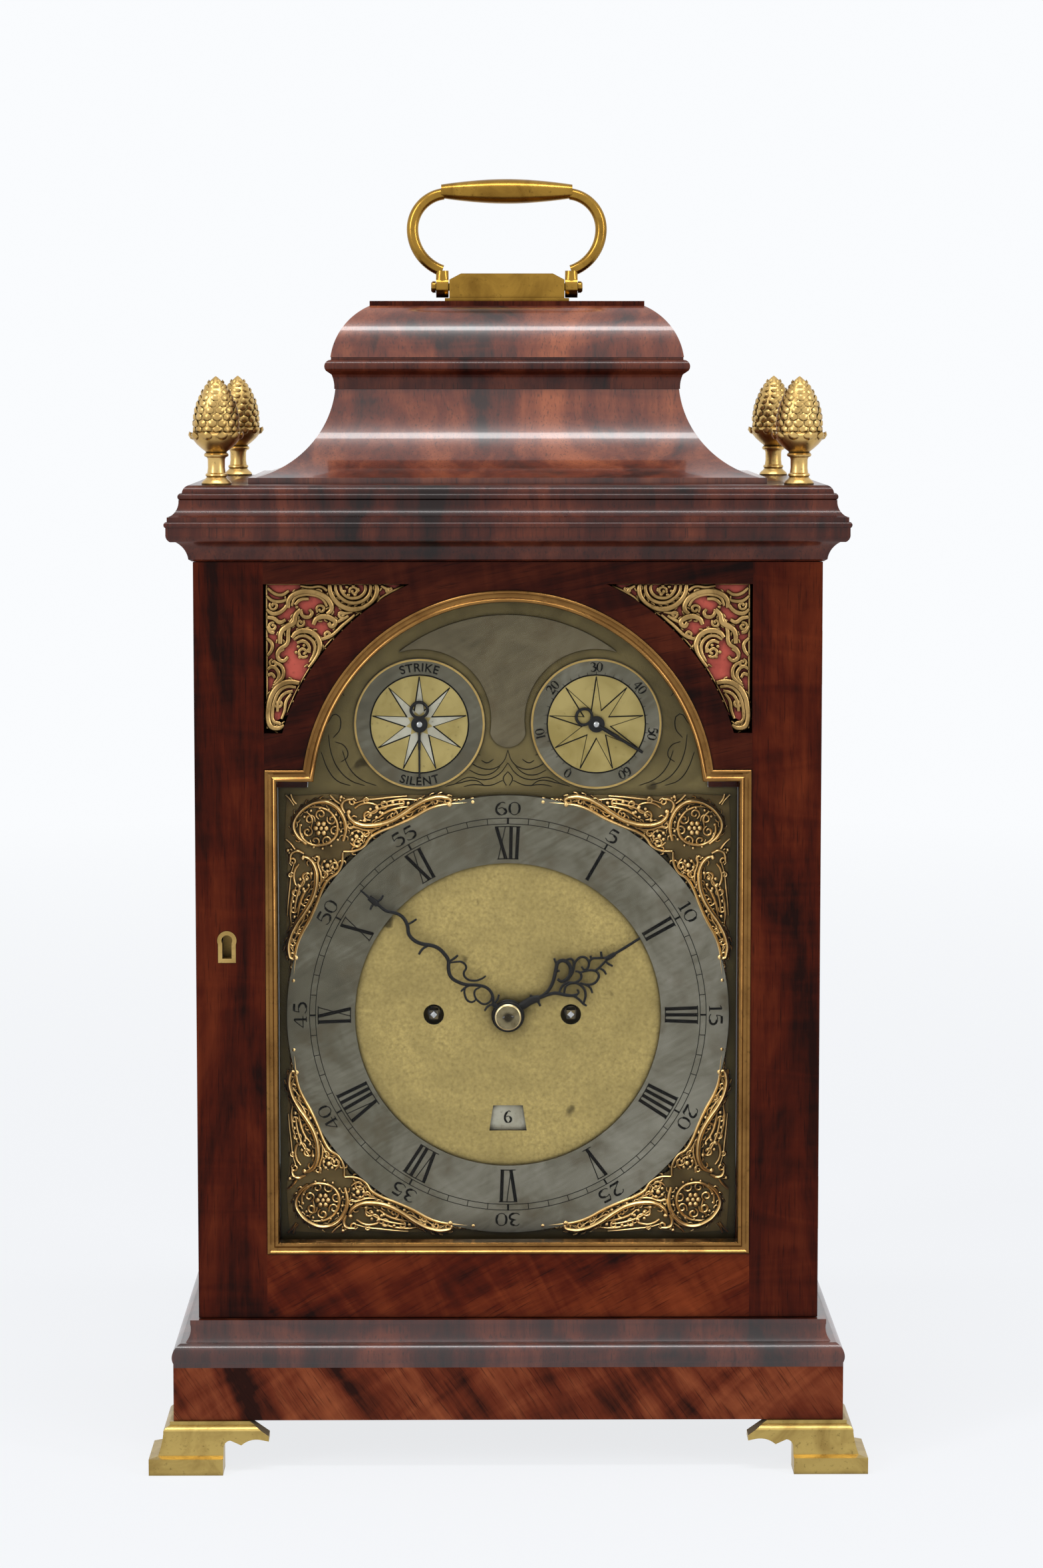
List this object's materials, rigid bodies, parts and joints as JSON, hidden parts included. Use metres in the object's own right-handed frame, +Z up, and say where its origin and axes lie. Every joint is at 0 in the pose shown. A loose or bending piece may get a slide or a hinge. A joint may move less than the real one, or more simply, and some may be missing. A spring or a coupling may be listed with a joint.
{
  "type": "bracket clock",
  "caption": "Mahogany bracket clock with an inverted bell top, arched brass dial, carrying handle, opening glazed doors, pendulum and striking fusee movement.",
  "frame": {"origin": "on the floor under the middle of the case", "axes": "+Z up, the dial faces -Y, +X to the right as one looks at the dial"},
  "size_m": [0.277, 0.193, 0.4987],
  "materials": {
    "gilt_brass": "lacquered, polished",
    "steel": "polished",
    "oak": "plain",
    "mahogany": "french polished",
    "dark_wood": "polished, darkened",
    "glass": "clear",
    "silk": "woven",
    "dial_brass": "matted and lacquered",
    "silvered": "silvered, matt",
    "blued_steel": "blued",
    "movement_brass": "brushed",
    "bell_metal": "polished"
  },
  "bodies": {
    "case": {"feet": "gilt_brass", "base_bolts": "steel", "base_board": "oak", "base_plinth": "mahogany", "base_moulding": "mahogany", "side_panel_left": "mahogany", "side_panel_right": "mahogany", "side_frets": "gilt_brass", "top_board": "mahogany", "cornice": "mahogany", "bell_cove": "mahogany", "bell_moulding": "mahogany", "bell_cushion": "mahogany", "cap_plate": "dark_wood", "handle_block": "gilt_brass", "finials": "gilt_brass", "case_hinge_leaves": "gilt_brass", "seatboard": "oak", "dial_mask": "mahogany", "dial_plate": "dial_brass", "chapter_ring": "silvered", "spandrels": "gilt_brass", "name_plate": "silvered", "subsidiary_dials": "silvered", "movement_frame": "movement_brass", "bell": "bell_metal"},
    "carrying_handle": {"handle": "gilt_brass"},
    "front_door": {"door_stile_left": "mahogany", "door_stile_right": "mahogany", "door_top_rail": "mahogany", "door_bottom_rail": "mahogany", "door_bezel": "gilt_brass", "door_glass": "glass", "door_frets": "gilt_brass", "door_silk": "silk", "door_lock": "gilt_brass", "door_hinge_leaves": "gilt_brass"},
    "door_bolt": {"lock_bolt": "steel"},
    "back_door": {"back_door_frame": "mahogany", "back_door_glass": "glass", "back_door_hinge_leaves": "gilt_brass"},
    "turn_catch": {"back_door_catch": "gilt_brass"},
    "minute_work": {"minute_hand": "blued_steel", "cannon_pinion": "movement_brass"},
    "hour_work": {"hour_hand": "blued_steel", "hour_wheel": "movement_brass"},
    "motion_wheel": {"minute_wheel": "movement_brass"},
    "strike_pointer": {"strike_hand": "blued_steel"},
    "regulation_pointer": {"regulation_hand": "blued_steel"},
    "date": {"date_ring": "silvered"},
    "centre_wheel": {"centre_arbor": "movement_brass"},
    "third": {"third_wheel": "movement_brass"},
    "escape": {"escape_wheel": "movement_brass"},
    "fusee_going": {"going_fusee": "movement_brass"},
    "fusee_strike": {"strike_fusee": "movement_brass"},
    "barrel_going": {"going_barrel": "movement_brass"},
    "barrel_strike": {"strike_barrel": "movement_brass"},
    "anchor": {"pallets": "steel"},
    "pendulum_body": {"pendulum": "movement_brass"},
    "bell_hammer": {"hammer": "steel"}
  },
  "joints": [
    {"name": "handle_fold", "type": "hinge", "parent": "case", "child": "carrying_handle", "pos_m": [0, 0, 0.4562], "axis": [1, 0, 0], "range_deg": [-90, 90]},
    {"name": "front_door_swing", "type": "hinge", "parent": "case", "child": "front_door", "pos_m": [0.12, -0.06185, 0.204], "axis": [0, 0, 1], "range_deg": [0, 110]},
    {"name": "bolt_throw", "type": "slide", "parent": "front_door", "child": "door_bolt", "axis": [-1, 0, 0], "range_m": [0, 0.004]},
    {"name": "back_door_swing", "type": "hinge", "parent": "case", "child": "back_door", "pos_m": [0.12, 0.06185, 0.204], "axis": [0, 0, -1], "range_deg": [0, 110]},
    {"name": "catch_turn", "type": "hinge", "parent": "back_door", "child": "turn_catch", "pos_m": [-0.107, 0.07, 0.2052], "axis": [0, 1, 0], "range_deg": [0, 90]},
    {"name": "minute_hand_turn", "type": "hinge", "parent": "case", "child": "minute_work", "pos_m": [0, -0.066, 0.1735], "axis": [0, 1, 0], "continuous": true},
    {"name": "hour_hand_turn", "type": "hinge", "parent": "case", "child": "hour_work", "pos_m": [0, -0.063, 0.1735], "axis": [0, 1, 0], "continuous": true},
    {"name": "minute_wheel_turn", "type": "hinge", "parent": "case", "child": "motion_wheel", "pos_m": [0, -0.046, 0.1555], "axis": [0, 1, 0], "continuous": true},
    {"name": "strike_hand_turn", "type": "hinge", "parent": "case", "child": "strike_pointer", "pos_m": [-0.0342, -0.062, 0.2872], "axis": [0, 1, 0], "range_deg": [0, 180]},
    {"name": "regulation_hand_turn", "type": "hinge", "parent": "case", "child": "regulation_pointer", "pos_m": [0.0342, -0.062, 0.2872], "axis": [0, 1, 0], "range_deg": [-240, 30]},
    {"name": "date_ring_turn", "type": "hinge", "parent": "case", "child": "date", "pos_m": [0, -0.057, 0.1735], "axis": [0, 1, 0], "continuous": true},
    {"name": "third_wheel_turn", "type": "hinge", "parent": "case", "child": "third", "pos_m": [-0.006, -0.03, 0.19409], "axis": [0, 1, 0], "continuous": true},
    {"name": "centre_wheel_turn", "type": "hinge", "parent": "case", "child": "centre_wheel", "pos_m": [0, -0.03, 0.1735], "axis": [0, 1, 0], "continuous": true},
    {"name": "escape_wheel_turn", "type": "hinge", "parent": "case", "child": "escape", "pos_m": [0, -0.025, 0.21106], "axis": [0, 1, 0], "continuous": true},
    {"name": "going_fusee_turn", "type": "hinge", "parent": "case", "child": "fusee_going", "pos_m": [0.0245, 0, 0.1735], "axis": [0, 1, 0], "continuous": true},
    {"name": "going_barrel_turn", "type": "hinge", "parent": "case", "child": "barrel_going", "pos_m": [0.034, 0, 0.118], "axis": [0, 1, 0], "continuous": true},
    {"name": "strike_fusee_turn", "type": "hinge", "parent": "case", "child": "fusee_strike", "pos_m": [-0.0289, 0, 0.1735], "axis": [0, 1, 0], "continuous": true},
    {"name": "strike_barrel_turn", "type": "hinge", "parent": "case", "child": "barrel_strike", "pos_m": [-0.034, 0, 0.118], "axis": [0, 1, 0], "continuous": true},
    {"name": "pendulum_swing", "type": "hinge", "parent": "case", "child": "pendulum_body", "pos_m": [0, 0.034, 0.23226], "axis": [0, 1, 0], "range_deg": [-3, 3]},
    {"name": "pallets_rock", "type": "hinge", "parent": "case", "child": "anchor", "pos_m": [0, -0.025, 0.23226], "axis": [0, 1, 0], "range_deg": [-3, 3]},
    {"name": "hammer_lift", "type": "hinge", "parent": "case", "child": "bell_hammer", "pos_m": [-0.044, -0.01, 0.24], "axis": [0, -1, 0], "range_deg": [0, 8], "stiffness_Nm_per_rad": 0.02, "springref_deg": -17.19}
  ],
  "couplings": [
    {"joint": "hour_hand_turn", "follows": "minute_hand_turn", "ratio": 0.083333},
    {"joint": "minute_wheel_turn", "follows": "minute_hand_turn", "ratio": -1},
    {"joint": "centre_wheel_turn", "follows": "third_wheel_turn", "ratio": -0.083333},
    {"joint": "escape_wheel_turn", "follows": "third_wheel_turn", "ratio": -11},
    {"joint": "going_fusee_turn", "follows": "third_wheel_turn", "ratio": 0.0069444},
    {"joint": "going_barrel_turn", "follows": "third_wheel_turn", "ratio": 0.0045139},
    {"joint": "strike_barrel_turn", "follows": "strike_fusee_turn", "ratio": 0.65},
    {"joint": "pallets_rock", "follows": "pendulum_swing", "ratio": 1}
  ]
}
